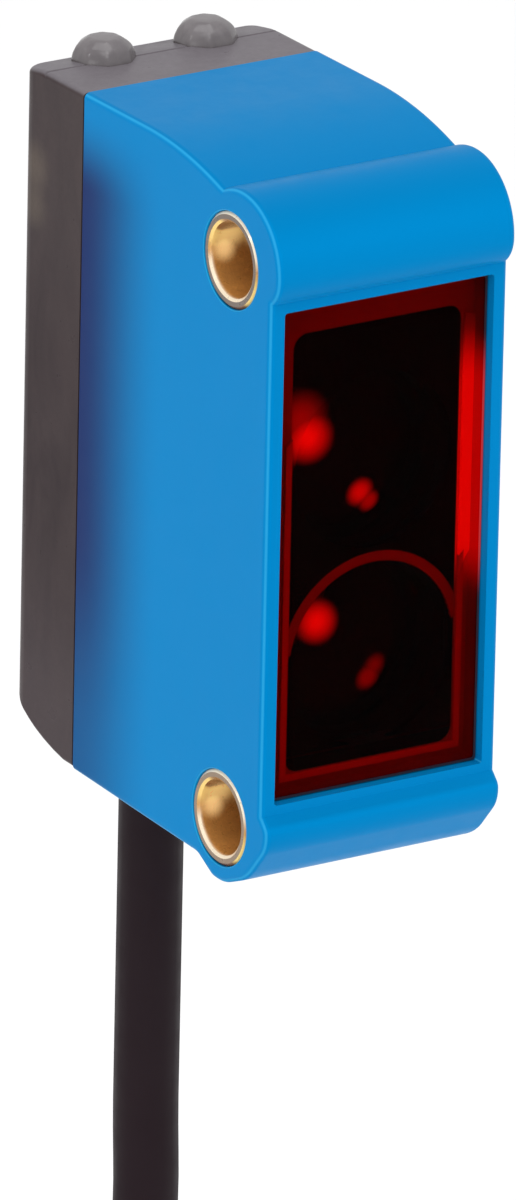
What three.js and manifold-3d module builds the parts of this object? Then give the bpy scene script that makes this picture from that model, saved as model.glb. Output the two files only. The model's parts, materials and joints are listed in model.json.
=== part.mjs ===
// Miniature photoelectric sensor with a 2 m connection cable, in millimetres, +Z up.
// The window looks along -Y. The origin lies on the right side face (+X), midway between
// the axes of the two mounting sleeves, so the body fills X from -WIDTH to 0.
import * as THREE from 'three';
import { mergeVertices } from 'three/addons/utils/BufferGeometryUtils.js';
import Module from 'manifold-3d';

const wasm = await Module();
wasm.setup();

// ---------------------------------------------------------------- driving dimensions
const WIDTH = 12;             // side face to side face
const MID_X = -WIDTH / 2;
const HOLE_Z = 25.4 / 2;      // mounting sleeves lie this far above and below the origin
const SEAM_Y = 11.9;          // rear end of the housing
const BACK_Y = 17.1;          // rear end of the cover
const TOP_Z = 16.7;
const WALL = 1.2;
const GAP = 0.1;              // play between neighbouring pieces
const SNUG = 0.15;            // play of pieces that slide into the housing from behind
const SOLDER = 0.05;          // parts stand this far off their board
const FACETS = 40;            // sides of round pieces

const BOSS = { y: -0.65, z: 12.65, r: 3.25, blend: 1.2 };   // round ends that hold the sleeves
const RIM = { y: -3.3, z: 11.75, step: 0.1 };               // flat front around the window
const CREASE_Y = 0.8;         // the shoulder runs into the upper boss here
const SHOULDER_Y = 7;         // the top starts to fall towards the front here
const BOTTOM = { bossY: 1.6, seamZ: -14.5 };                // underside, lower boss to seam
const SIDE_ROUND = 0.35;      // rounding along the side faces
const SLEEVE = { outer: 2.24, bore: 1.6, chamfer: 0.2 };
const WINDOW = { width: 10.5, height: 22.28, front: -2.9, flange: 0.8, plug: 0.8 };
const WINDOW_SEAL = { thick: 0.2, inset: 0.25 };
const CAVITY = {
  left: -WIDTH + WALL, right: -WALL, bottom: -13.4, top: 15.6,
  halfOptics: 9.8,            // half height of the room behind the window
  opticsBack: 2.1,            // the full height starts here
  underBoss: 14.3,            // ceiling below the shoulder
  shoulder: 6,                // the ceiling rises to the top here
};
const EMITTER_Z = 3.2;
const RECEIVER_Z = -5.4;
const LENS_R = 4;
const MAIN_BOARD_Y = 7;
const REAR_BOARD_Y = 11.6;
const BOARD_THICK = 0.8;
const COVER = { front: SEAM_Y + GAP, corner: 1.1, ridgeY: 15.2, bottomFront: -14.35, bottomBack: -13.15 };
const DOME = { r: 1.4, y: 15.8, z: 16.15, offset: 2.5 };
const SENSITIVITY_Z = 8.6;
const MODE_Z = 2.6;
const ADJUSTER = { head: 2.1, stem: 1.3, front: 14.5, shoulder: 16, back: 16.8 };
const CABLE = { r: 1.475, y: 14.9, hole: 1.85, top: -9.5 };
const CORE_COLOURS = { brown: 0x5a3020, white: 0xe8e6e0, blue: 0x1f4fa8, black: 0x151515 };

// ---------------------------------------------------------------- colours
const finish = (color, roughness, metalness = 0) =>
  new THREE.MeshStandardMaterial({ color, roughness, metalness });
const BLUE = finish(0x0a86cc, 0.45);
const SMOKE = finish(0x4a4443, 0.35);
const RED = finish(0x6a0006, 0.08);
const BRASS = finish(0xc09a50, 0.3, 1);
const BLACK = finish(0x111112, 0.6);
const CLEAR = finish(0xd8dfe2, 0.05);
const BOARD = finish(0x1d5a38, 0.5);
const EPOXY = finish(0x1a1a1c, 0.5);
const TIN = finish(0xb9bcc0, 0.3, 1);
const RUBBER = finish(0x202022, 0.8);
const SHEATH = finish(0x241d20, 0.55);
const WHITE = finish(0xd9d6cc, 0.5);

// ---------------------------------------------------------------- shaping helpers
const AXIS_X = new THREE.Vector3(1, 0, 0);
const AXIS_Y = new THREE.Vector3(0, 1, 0);
const AXIS_Z = new THREE.Vector3(0, 0, 1);
const TO_SIDE = new THREE.Matrix4().makeBasis(AXIS_Y, AXIS_Z, AXIS_X);

// A block between two corners.
function block(x0, x1, y0, y1, z0, z1) {
  return new THREE.BoxGeometry(x1 - x0, y1 - y0, z1 - z0)
    .translate((x0 + x1) / 2, (y0 + y1) / 2, (z0 + z1) / 2);
}

// An outline drawn in Y and Z, carried along X from x0 to x1, with rounded long edges.
function sideExtrusion(outline, x0, x1, round) {
  const options = { depth: x1 - x0, bevelEnabled: false, curveSegments: 8 };
  if (round > 0) {
    const bevel = { bevelThickness: round, bevelSize: round, bevelOffset: -round, bevelSegments: 2 };
    Object.assign(options, bevel, { bevelEnabled: true, depth: x1 - x0 - 2 * round });
  }
  const lift = round > 0 ? round : 0;
  return new THREE.ExtrudeGeometry(outline, options).translate(0, 0, x0 + lift).applyMatrix4(TO_SIDE);
}

// A round bar along X, Y or Z.
function bar(axis, r, from, to, a, b, facets = FACETS) {
  const geometry = new THREE.CylinderGeometry(r, r, to - from, facets);
  const middle = (from + to) / 2;
  if (axis === 'x') return geometry.rotateZ(-Math.PI / 2).translate(middle, a, b);
  if (axis === 'y') return geometry.translate(a, middle, b);
  return geometry.rotateX(Math.PI / 2).translate(a, b, middle);
}

// A turned piece about Y: profile points are [radius, y].
function turned(profile, x, z, facets = FACETS) {
  const points = profile.map(([r, y]) => new THREE.Vector2(r, y));
  return new THREE.LatheGeometry(points, facets).translate(x, 0, z);
}

// A pipe of even bore about Y that starts at y = 0.
function pipe(inner, outer, length, facets = FACETS) {
  const profile = [[inner, 0], [outer, 0], [outer, length], [inner, length], [inner, 0]];
  return turned(profile, 0, 0, facets);
}

// A round section swept along a smooth line through the points.
function strand(points, r, sides, steps) {
  const section = new THREE.Shape();
  for (let i = 0; i < sides; i += 1) {
    const angle = (2 * Math.PI * i) / sides;
    const corner = [r * Math.cos(angle), r * Math.sin(angle)];
    if (i === 0) section.moveTo(...corner);
    else section.lineTo(...corner);
  }
  const path = new THREE.CatmullRomCurve3(points.map((p) => new THREE.Vector3(...p)));
  return new THREE.ExtrudeGeometry(section, { steps, extrudePath: path, bevelEnabled: false });
}

// ---------------------------------------------------------------- joining and cutting
function toSolid(geometry) {
  const bare = geometry.clone();
  bare.deleteAttribute('normal');
  bare.deleteAttribute('uv');
  const merged = mergeVertices(bare, 1e-4);
  const index = merged.index.array;
  const triangles = [];
  for (let i = 0; i < index.length; i += 3) {
    const [a, b, c] = [index[i], index[i + 1], index[i + 2]];
    if (a !== b && b !== c && c !== a) triangles.push(a, b, c);
  }
  const vertProperties = Float32Array.from(merged.attributes.position.array);
  return new wasm.Manifold(new wasm.Mesh({ numProp: 3, vertProperties, triVerts: Uint32Array.from(triangles) }));
}

function toGeometry(solid) {
  const mesh = solid.getMesh();
  const geometry = new THREE.BufferGeometry();
  geometry.setAttribute('position', new THREE.BufferAttribute(Float32Array.from(mesh.vertProperties), 3));
  geometry.setIndex(new THREE.BufferAttribute(Uint32Array.from(mesh.triVerts), 1));
  geometry.computeVertexNormals();
  return geometry;
}

const join = (...pieces) => toGeometry(pieces.map(toSolid).reduce((a, b) => a.add(b)));
const cut = (piece, ...tools) => toGeometry(tools.map(toSolid).reduce((a, b) => a.subtract(b), toSolid(piece)));
const common = (a, b) => toGeometry(toSolid(a).intersect(toSolid(b)));

// ---------------------------------------------------------------- the model
const sensor = new THREE.Group();

function add(name, geometry, material) {
  const mesh = new THREE.Mesh(geometry, material);
  mesh.name = name;
  sensor.add(mesh);
  return mesh;
}

// Side view of the housing: flat top, falling shoulder, two bosses, a slightly sloping bottom.
function housingOutline() {
  const run = SHOULDER_Y - CREASE_Y;
  const creaseAngle = Math.acos((CREASE_Y - BOSS.y) / BOSS.r);
  const drop = TOP_Z - (BOSS.z + BOSS.r * Math.sin(creaseAngle));
  const shoulderR = (run ** 2 + drop ** 2) / (2 * drop);
  const blendY = BOSS.y - BOSS.r + BOSS.blend;
  const blendAngle = Math.asin((BOSS.z - RIM.z) / BOSS.blend);
  const bottomAngle = Math.acos((BOTTOM.bossY - BOSS.y) / BOSS.r);
  const quarter = Math.PI / 2;
  const outline = new THREE.Shape();
  outline.moveTo(SEAM_Y, TOP_Z);
  outline.absarc(SHOULDER_Y, TOP_Z - shoulderR, shoulderR, quarter, quarter + Math.asin(run / shoulderR));
  outline.absarc(BOSS.y, BOSS.z, BOSS.r, creaseAngle, Math.PI);
  outline.absarc(blendY, BOSS.z, BOSS.blend, Math.PI, Math.PI + blendAngle);
  outline.lineTo(RIM.y, RIM.z - RIM.step);
  outline.lineTo(RIM.y, -RIM.z + RIM.step);
  outline.absarc(blendY, -BOSS.z, BOSS.blend, Math.PI - blendAngle, Math.PI);
  outline.absarc(BOSS.y, -BOSS.z, BOSS.r, Math.PI, 2 * Math.PI - bottomAngle);
  outline.lineTo(SEAM_Y, BOTTOM.seamZ);
  return outline;
}

// Where the window and its seal lie against the housing.
const LEDGE_Y = WINDOW.front + WINDOW.flange + WINDOW_SEAL.thick + 2 * SOLDER;

// Hollow behind the window, open at the rear; the sleeves keep a wall of their own.
function housingCavity() {
  const { left, right, bottom, top, halfOptics, opticsBack, underBoss, shoulder } = CAVITY;
  const behind = SEAM_Y + 1;
  const overlap = 0.1;
  const optics = block(left, right, LEDGE_Y - overlap, opticsBack, -halfOptics, halfOptics);
  const middle = block(left, right, opticsBack - overlap, behind, bottom, underBoss);
  const rear = block(left, right, shoulder, behind, bottom, top);
  const sleeveWalls = [-HOLE_Z, HOLE_Z].map((z) => bar('x', SLEEVE.outer + 0.6, -WIDTH, 0, 0, z));
  return cut(join(optics, middle, rear), ...sleeveWalls);
}

function addHousing() {
  const outside = sideExtrusion(housingOutline(), -WIDTH, 0, SIDE_ROUND);
  const halfW = WINDOW.width / 2 + GAP / 2;
  const halfH = WINDOW.height / 2 + GAP / 2;
  const pocket = block(MID_X - halfW, MID_X + halfW, RIM.y - 1, LEDGE_Y, -halfH, halfH);
  const bores = [-HOLE_Z, HOLE_Z].map((z) => bar('x', SLEEVE.outer + GAP / 2, -WIDTH - 1, 1, 0, z));
  add('housing', cut(outside, housingCavity(), pocket, ...bores), BLUE);
}

// Brass spacer sleeve through the full width, so that a screw never squeezes the plastic.
function addSleeves() {
  const { outer, bore, chamfer } = SLEEVE;
  const wide = bore + chamfer;
  const profile = [[wide, 0], [outer, 0], [outer, WIDTH], [wide, WIDTH], [bore, WIDTH - chamfer],
    [bore, chamfer], [wide, 0]];
  for (const [name, z] of [['sleeve_upper', HOLE_Z], ['sleeve_lower', -HOLE_Z]]) {
    add(name, turned(profile, 0, 0).rotateZ(Math.PI / 2).translate(0, 0, z), BRASS);
  }
}

// Filter plate in a pocket of the housing: a wide front and a plug that centres it.
function addWindow() {
  const halfW = WINDOW.width / 2;
  const halfH = WINDOW.height / 2;
  const plugZ = CAVITY.halfOptics - GAP;
  const [plugLeft, plugRight] = [CAVITY.left + GAP, CAVITY.right - GAP];
  const flangeBack = WINDOW.front + WINDOW.flange;
  const flange = block(MID_X - halfW, MID_X + halfW, WINDOW.front, flangeBack, -halfH, halfH);
  const plug = block(plugLeft, plugRight, flangeBack - 0.1, flangeBack + WINDOW.plug, -plugZ, plugZ);
  add('front_window', join(flange, plug), RED);

  // Flat ring between the plate and the ledge of the housing, round the plug.
  const { thick, inset } = WINDOW_SEAL;
  const start = flangeBack + SOLDER;
  const ring = block(MID_X - halfW + inset, MID_X + halfW - inset, start, start + thick, -halfH + inset, halfH - inset);
  const opening = block(plugLeft - GAP / 2, plugRight + GAP / 2, start - 1, start + 1, -plugZ - GAP / 2, plugZ + GAP / 2);
  add('window_seal', cut(ring, opening), RUBBER);
}

// Rear cover: a shell with rounded rear corners, a tongue into the housing, two indicator
// domes, two adjuster openings and the cable outlet.
function coverOutline() {
  const { front, ridgeY, bottomFront, bottomBack } = COVER;
  const top = TOP_Z - GAP / 2;
  const outline = new THREE.Shape();
  outline.moveTo(front, bottomFront);
  outline.lineTo(BACK_Y - 1.5, bottomBack);
  outline.quadraticCurveTo(BACK_Y, bottomBack + 0.55, BACK_Y, bottomBack + 1.75);
  outline.lineTo(BACK_Y, top - 0.65);
  outline.quadraticCurveTo(BACK_Y, top - 0.25, BACK_Y - 0.7, top - 0.2);
  outline.lineTo(ridgeY, top);
  outline.lineTo(front, top);
  return outline;
}

function coverPlan() {
  const { corner } = COVER;
  const plan = new THREE.Shape();
  plan.moveTo(-WIDTH, SEAM_Y);
  plan.lineTo(0, SEAM_Y);
  plan.absarc(-corner, BACK_Y - corner, corner, 0, Math.PI / 2);
  plan.absarc(-WIDTH + corner, BACK_Y - corner, corner, Math.PI / 2, Math.PI);
  return new THREE.ExtrudeGeometry(plan, { depth: 40, bevelEnabled: false, curveSegments: 4 }).translate(0, 0, -20);
}

// A block that fits the rear opening of the housing, its sides moved in by a distance.
function inRearOpening(inwards, y0, y1) {
  const { left, right, bottom, top } = CAVITY;
  return block(left + inwards, right - inwards, y0, y1, bottom + inwards, top - inwards);
}

function addCover() {
  const { left, right, top } = CAVITY;
  const [floorZ, backWall, lip] = [-12, 16, 0.6];
  const shell = cut(
    common(sideExtrusion(coverOutline(), -WIDTH, 0, 0), coverPlan()),
    block(left, right, SEAM_Y - 1, backWall, floorZ, top - GAP),
  );
  const tongue = cut(inRearOpening(SNUG, 11.2, 12.6), inRearOpening(SNUG + lip, 11, 13));
  const domes = [-DOME.offset, DOME.offset].map((dx) =>
    new THREE.SphereGeometry(DOME.r, 24, 16).translate(MID_X + dx, DOME.y, DOME.z));
  const openings = [SENSITIVITY_Z, MODE_Z].map((z) =>
    bar('y', ADJUSTER.head + SNUG, backWall - 0.5, BACK_Y + 1, MID_X, z));
  const outlet = bar('z', CABLE.hole, -16, CABLE.top + 0.6, MID_X, CABLE.y);
  add('rear_cover', cut(join(shell, tongue, ...domes), ...openings, outlet), SMOKE);
}

function addSeal() {
  const band = 0.7;
  add('housing_seal', cut(inRearOpening(SNUG, 10.4, 11), inRearOpening(SNUG + band, 10, 12)), RUBBER);
}

// Black carrier that keeps the two light paths apart, and the two lenses in it.
function addOptics() {
  const front = WINDOW.front + WINDOW.flange + WINDOW.plug + 2 * GAP;
  const seatBack = front + 1.6;
  const body = block(CAVITY.left + 0.2, CAVITY.right - 0.2, front, MAIN_BOARD_Y - 0.4, -9.75, 9.6);
  const lenses = [['emitter_lens', EMITTER_Z], ['receiver_lens', RECEIVER_Z]];
  const channels = lenses.map(([, z]) => bar('y', LENS_R - 0.4, front - 1, MAIN_BOARD_Y, MID_X, z));
  const seats = lenses.map(([, z]) => bar('y', LENS_R + GAP, front - 1, seatBack, MID_X, z));
  add('optics_carrier', cut(body, ...channels, ...seats), BLACK);

  const sagitta = 0.7;
  const ballR = (LENS_R ** 2 + sagitta ** 2) / (2 * sagitta);
  const domeSteps = 6;
  const back = seatBack - GAP;
  const rim = front + GAP + sagitta;
  const profile = [[0, back], [LENS_R, back]];
  for (let i = 0; i <= domeSteps; i += 1) {
    const r = LENS_R * (1 - i / domeSteps);
    profile.push([r, rim - (Math.sqrt(ballR ** 2 - r ** 2) - (ballR - sagitta))]);
  }
  profile.reverse();
  for (const [name, z] of lenses) add(name, turned(profile, MID_X, z), CLEAR);
}

// A part on a board, centred at x and z: width along X, height along Z, from y0 to y1.
function chip(x, z, width, height, y0, y1) {
  return block(x - width / 2, x + width / 2, y0, y1, z - height / 2, z + height / 2);
}

// Front board with the light source and the detector, and the parts on its rear side.
function addMainBoard() {
  const front = MAIN_BOARD_Y;
  const rear = front + BOARD_THICK;
  add('main_board', block(-10.6, -1.4, front, rear, -12.6, 13.6), BOARD);
  const ledBody = chip(MID_X, EMITTER_Z, 3, 3, front - 0.95, front - SOLDER);
  const ledDome = new THREE.SphereGeometry(1.1, 20, 12).translate(MID_X, front - 0.9, EMITTER_Z);
  const behindLed = chip(MID_X, EMITTER_Z, 6, 6, front - SOLDER, rear + 1);
  add('emitter_led', join(ledBody, cut(ledDome, behindLed)), CLEAR);
  add('receiver_photodiode', chip(MID_X, RECEIVER_Z, 4, 5, front - 1.1, front - SOLDER), EPOXY);

  const start = rear + SOLDER;
  const [chipZ, canWall] = [-4, 0.25];
  const can = chip(MID_X, chipZ, 6.4, 6.4, start, rear + 1.6);
  const inCan = chip(MID_X, chipZ, 6.4 - 2 * canWall, 6.4 - 2 * canWall, rear - 1, rear + 1.6 - canWall);
  add('evaluation_chip', chip(MID_X, chipZ, 4, 4, start, rear + 0.9), EPOXY);
  add('shield_can', cut(can, inCan), TIN);
  add('buffer_capacitor', chip(MID_X, 5.6, 3.6, 2.8, start, rear + 1.9), finish(0xb8862c, 0.5));
  add('board_connector', chip(MID_X, -9.7, 6, 1.8, start, REAR_BOARD_Y - SOLDER), BLACK);
}

// Rear board with the adjusters' bases, the status lights and the output stage.
function addRearBoard() {
  const rear = REAR_BOARD_Y + BOARD_THICK;
  add('rear_board', block(-9.95, -2.05, REAR_BOARD_Y, rear, -10.8, 14.6), BOARD);
  const onBoard = (name, width, height, depth, x, z, material) =>
    add(name, chip(x, z, width, height, rear + SOLDER, rear + depth), material);
  onBoard('sensitivity_base', 4.6, 4.6, 1.9, MID_X, SENSITIVITY_Z, WHITE);
  onBoard('mode_base', 4.6, 4.6, 1.9, MID_X, MODE_Z, WHITE);
  onBoard('status_led_green', 1.6, 1.2, 0.9, MID_X - DOME.offset, 13.4, finish(0x66c266, 0.3));
  onBoard('status_led_yellow', 1.6, 1.2, 0.9, MID_X + DOME.offset, 13.4, finish(0xe6c23a, 0.3));
  onBoard('output_driver', 3, 3, 1, -7.8, -2.6, EPOXY);
  onBoard('suppressor_diode', 1.6, 2.8, 1.1, -4, -2.6, EPOXY);
}

// A slotted head on a stem, turned from behind with a small screwdriver, and its sealing ring.
function addAdjuster(name, sealName, z, slots) {
  const { head, stem, front, shoulder, back } = ADJUSTER;
  const profile = [[0, front], [stem, front], [stem, shoulder], [head, shoulder], [head, back - 0.15],
    [head - 0.15, back], [0, back]];
  const slotCutters = slots.map(({ length, turn }) =>
    new THREE.BoxGeometry(length, 1, 0.6).rotateY(turn).translate(MID_X, back, z));
  add(name, cut(turned(profile, MID_X, z), ...slotCutters), WHITE);
  const ring = new THREE.TorusGeometry(1.85, 0.4, 10, 32).rotateX(Math.PI / 2).translate(MID_X, 15.3, z);
  add(sealName, ring, RUBBER);
}

// Cable entry: grommet, end of the sheath, crimped clamp and four cores to the rear board.
function addCableEntry() {
  const grommet = pipe(CABLE.r + 0.08, CABLE.hole - 0.05, 3.2);
  add('cable_grommet', grommet.rotateX(Math.PI / 2).translate(MID_X, CABLE.y, -14.4), RUBBER);
  add('sheath_end', bar('z', CABLE.r, -14.1, CABLE.top, MID_X, CABLE.y, 24), SHEATH);
  const clamp = pipe(CABLE.r + 0.05, CABLE.hole - 0.05, 1);
  add('cable_clamp', clamp.rotateX(Math.PI / 2).translate(MID_X, CABLE.y, -10.9), TIN);

  const corners = [[-0.55, 0.55], [-0.55, -0.55], [0.55, -0.55], [0.55, 0.55]];
  const padPitch = 1.8;
  Object.entries(CORE_COLOURS).forEach(([colour, hex], i) => {
    const [dx, dy] = corners[i];
    const padX = MID_X + (i - 1.5) * padPitch;
    const start = CABLE.top + 0.3;
    const route = [
      [MID_X + dx, CABLE.y + dy, start],
      [MID_X + dx, CABLE.y + dy, start + 1],
      [padX, 14, start + 3.1],
      [padX, REAR_BOARD_Y + BOARD_THICK + 0.3, start + 3.5],
    ];
    add(`core_${colour}`, strand(route, 0.42, 8, 10), finish(hex, 0.5));
  });
}

// ---------------------------------------------------------------- the free cable
// Straight down from the grommet, then a bend onto the top of a hanging coil.
const CABLE_ROUTE = [
  [-6, 14.9, -14.6], [-6, 14.9, -20], [-6, 14.9, -26], [-6, 14.9, -32], [-6, 14.9, -38.5],
  [-6, 16.1, -43], [-6, 19.4, -46.3], [-6, 23.9, -47.5],
];
const COIL = { x: MID_X, y: 23.9, z: -71.5, inner: 13.4, outer: 22.4, width: 18 };
const TAIL = { x: 4.7, y: 38.9, top: -73.5, leadLength: 16, ferruleLength: 6 };

// A band around the section of the coil, at an angle measured from +Y.
function coilTie(degrees, reach) {
  const [band, play] = [0.6, 0.25];
  const width = COIL.width / 2 + play;
  const frame = cut(
    block(-width - band, width + band, COIL.inner - play - band, reach + play + band, -1.25, 1.25),
    block(-width, width, COIL.inner - play, reach + play, -2, 2),
  );
  return frame.rotateX(THREE.MathUtils.degToRad(degrees))
    .translate(COIL.x, COIL.y, COIL.z);
}

function addCable() {
  add('cable', strand(CABLE_ROUTE, CABLE.r, 8, 12), SHEATH);
  const half = COIL.width / 2;
  const section = [[COIL.inner, -half + 1], [COIL.inner + 1, -half], [COIL.outer - 1, -half], [COIL.outer, -half + 1],
    [COIL.outer, half - 1], [COIL.outer - 1, half], [COIL.inner + 1, half], [COIL.inner, half - 1],
    [COIL.inner, -half + 1]];
  add('cable_coil', turned(section, 0, 0).rotateZ(Math.PI / 2).translate(COIL.x, COIL.y, COIL.z), SHEATH);
  add('coil_tie_upper', coilTie(68, COIL.outer + 3.2), BLACK);
  add('coil_tie_lower', coilTie(-90, COIL.outer), BLACK);

  const starts = [[-0.5, -0.5], [0.5, -0.5], [-0.5, 0.5], [0.5, 0.5]];
  const fanPitch = 1.6;
  Object.entries(CORE_COLOURS).forEach(([colour, hex], i) => {
    const x = TAIL.x + starts[i][0];
    const startY = TAIL.y + starts[i][1];
    const endY = TAIL.y + (i - 1.5) * fanPitch;
    const end = TAIL.top - TAIL.leadLength;
    const route = [
      [x, startY, TAIL.top],
      [x, startY + (endY - startY) * 0.2, TAIL.top - 4],
      [x, startY + (endY - startY) * 0.8, TAIL.top - 10],
      [x, endY, end],
    ];
    add(`lead_${colour}`, strand(route, 0.42, 8, 12), finish(hex, 0.5));
    const ferrule = bar('z', 0.35, end - 0.3 - TAIL.ferruleLength, end - 0.3, x, endY, 12);
    add(`ferrule_${colour}`, ferrule, TIN);
  });
}

addHousing();
addSleeves();
addWindow();
addCover();
addSeal();
addOptics();
addMainBoard();
addRearBoard();
addAdjuster('sensitivity_adjuster', 'sensitivity_seal', SENSITIVITY_Z, [{ length: 3.2, turn: 0 }, { length: 3.2, turn: Math.PI / 2 }]);
addAdjuster('mode_selector', 'mode_seal', MODE_Z, [{ length: 3.2, turn: 0 }]);
addCableEntry();
addCable();

export default sensor;
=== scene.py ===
"""Look of the miniature photoelectric sensor: visible pieces, materials, cable, floor, lights, camera.

Shapes are worked out in millimetres and scaled to metres when a piece is published.
The window looks along -Y, +Z is up and the body fills X from -12 to 0.
"""
import json
import math

import bmesh
import bpy
from mathutils import Matrix, Quaternion, Vector


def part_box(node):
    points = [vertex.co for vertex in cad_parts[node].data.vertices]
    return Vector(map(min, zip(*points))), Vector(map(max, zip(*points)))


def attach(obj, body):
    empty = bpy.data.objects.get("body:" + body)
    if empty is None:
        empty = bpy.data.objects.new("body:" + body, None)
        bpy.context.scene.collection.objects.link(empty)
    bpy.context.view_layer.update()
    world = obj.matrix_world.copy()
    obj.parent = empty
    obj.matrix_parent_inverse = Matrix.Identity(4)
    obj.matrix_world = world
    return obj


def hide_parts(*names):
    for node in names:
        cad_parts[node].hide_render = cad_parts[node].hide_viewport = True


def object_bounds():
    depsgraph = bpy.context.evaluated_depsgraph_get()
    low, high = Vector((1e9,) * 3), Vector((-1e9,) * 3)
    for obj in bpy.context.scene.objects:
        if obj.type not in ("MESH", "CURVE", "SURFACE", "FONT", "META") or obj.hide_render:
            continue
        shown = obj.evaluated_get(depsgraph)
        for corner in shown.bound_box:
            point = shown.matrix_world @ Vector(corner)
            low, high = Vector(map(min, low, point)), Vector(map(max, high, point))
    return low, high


MM = 0.001

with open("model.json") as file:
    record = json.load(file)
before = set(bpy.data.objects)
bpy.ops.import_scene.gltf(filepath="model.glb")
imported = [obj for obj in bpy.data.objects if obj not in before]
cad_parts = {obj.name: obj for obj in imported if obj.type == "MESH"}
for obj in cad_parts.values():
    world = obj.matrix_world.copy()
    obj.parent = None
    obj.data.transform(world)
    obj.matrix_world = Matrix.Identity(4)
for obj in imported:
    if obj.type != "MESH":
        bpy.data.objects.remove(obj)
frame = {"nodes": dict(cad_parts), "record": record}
cad_low, cad_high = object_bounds()


def box_mm(node):
    """Lowest and highest corner of a CAD node, in millimetres."""
    low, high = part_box(node)
    return low / MM, high / MM


# ------------------------------------------------------------------ driving dimensions
HOUSE_LOW, HOUSE_HIGH = box_mm("housing")
COVER_HIGH = box_mm("rear_cover")[1]
WINDOW_LOW, WINDOW_HIGH = box_mm("front_window")
SLEEVE_LOW, SLEEVE_HIGH = box_mm("sleeve_upper")
SEAL_HIGH = box_mm("window_seal")[1]
LENS_LOW, LENS_HIGH = box_mm("emitter_lens")
CARRIER_LOW, CARRIER_HIGH = box_mm("optics_carrier")

LEFT, RIGHT = HOUSE_LOW.x, HOUSE_HIGH.x
MID_X = (LEFT + RIGHT) / 2
SEAM_Y = HOUSE_HIGH.y
TOP_Z = HOUSE_HIGH.z
HOLE_Z = (SLEEVE_LOW.z + SLEEVE_HIGH.z) / 2
SLEEVE_R = 0.95 * (SLEEVE_HIGH.z - SLEEVE_LOW.z) / 2    # 5 % smaller than the CAD's sleeves
BORE_R = 1.6
WALL = 1.2
PLAY = 0.05

BOSS_Y, BOSS_Z, BOSS_R = -0.7, 12.85, 3.2        # round upper end that holds a sleeve
BOSS_BLEND_R = 1.5                               # boss to front rim
NOSE = [(-3.8, -12.1, 0.6), (-3.8, -12.95, 1.5), (-2.2, -14.85, 3.0), (-0.3, -15.65, 2.0),
        (0.55, -15.6, 0.8)]                      # flatter lower end: corners in Y and Z and their radii
RIM_Y, RIM_Z = -3.3, 11.75                       # rim around the window
CREASE_Y, SHOULDER_Y = 0.8, 7.0                  # where the top falls towards the upper boss
BOTTOM_Y, BOTTOM_Z, SEAM_BOTTOM_Z = 1.8, -14.93, -14.5    # the bottom runs from the nose to the seam
EDGE_R = 0.28                                    # rounding along the side faces

COVER_BACK = COVER_HIGH.y
COVER_FRONT = SEAM_Y + 0.1
COVER_TOP = TOP_Z - 0.05
COVER_CORNERS = {"left": 1.1, "right": 0.6}
RIDGE_Y = 15.2
DOME_OFFSET, DOME_Y, DOME_R = 2.6, 15.8, 1.46
PLATE_BACK = WINDOW_LOW.y + 0.8                  # rear face of the window plate
PLATE_FRONT = -1.8                               # front face of the aperture plate
GASKET_OPENING = (-10.0, -1.45, -10.4, 9.6)      # left, right, bottom, top
GASKET_RIM = 0.1                                 # its wall round the edge of the plate
EMITTER_Z, RECEIVER_Z, LENS_R = 3.2, -5.4, 4.0
ADJUSTER_Z = {"sensitivity_adjuster": 8.6, "mode_selector": 2.6}

PAINTED_RED_GLINT = (1.0, 0.05, 0.02)                     # colour of the painted red glints behind the window: emission that stands in for the lamps' reflections

CABLE_D = 2.95
CABLE_ROUTE = [(-6, 14.9, -14.6), (-6, 14.9, -20), (-6, 14.9, -26), (-6, 14.9, -32), (-6, 14.9, -38.5),
               (-6, 16.1, -43), (-6, 19.4, -46.3), (-6, 23.9, -47.5)]
COIL_CENTRE = Vector((-6, 23.9, -71.5))
TAIL_END = Vector((4.7, 38.9, -73.5))


# ------------------------------------------------------------------ outlines
def smooth_step(value, start, end):
    """0 before start, 1 after end and smooth between."""
    t = min(1.0, max(0.0, (value - start) / (end - start)))
    return t * t * (3 - 2 * t)


def arc(centre, radius, start, end, steps):
    """Points along an arc, angles in degrees."""
    angles = [math.radians(start + (end - start) * i / steps) for i in range(steps + 1)]
    return [(centre[0] + radius * math.cos(a), centre[1] + radius * math.sin(a)) for a in angles]


def soft_outline(corners, steps=6):
    """A closed outline from corners (u, v, radius), each rounded by its radius."""
    points = []
    for i, (u, v, radius) in enumerate(corners):
        here = Vector((u, v))
        if radius <= 0:
            points.append((u, v))
            continue
        to_last = (Vector(corners[i - 1][:2]) - here).normalized()
        to_next = (Vector(corners[(i + 1) % len(corners)][:2]) - here).normalized()
        half = to_last.angle(to_next) / 2
        centre = here + (to_last + to_next).normalized() * (radius / math.sin(half))
        reach = radius / math.tan(half)
        first, last = here + to_last * reach - centre, here + to_next * reach - centre
        turn = first.angle_signed(last)
        for k in range(steps + 1):
            spun = first.copy()
            spun.rotate(Matrix.Rotation(-turn * k / steps, 2))
            points.append(tuple(centre + spun))
    return points


def rectangle(u0, u1, v0, v1, radius=0.0, steps=6):
    """A counter-clockwise rectangle with rounded corners."""
    return soft_outline([(u0, v0, radius), (u1, v0, radius), (u1, v1, radius), (u0, v1, radius)], steps)


def inset(outline, distance):
    """A counter-clockwise outline, moved inwards."""
    moved = []
    for i, point in enumerate(outline):
        here = Vector(point)
        along = (here - Vector(outline[i - 1])).normalized()
        onward = (Vector(outline[(i + 1) % len(outline)]) - here).normalized()
        normals = Vector((-along.y, along.x)), Vector((-onward.y, onward.x))
        middle = (normals[0] + normals[1]).normalized()
        moved.append(tuple(here + middle * (distance / max(0.5, middle.dot(normals[0])))))
    return moved


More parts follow.
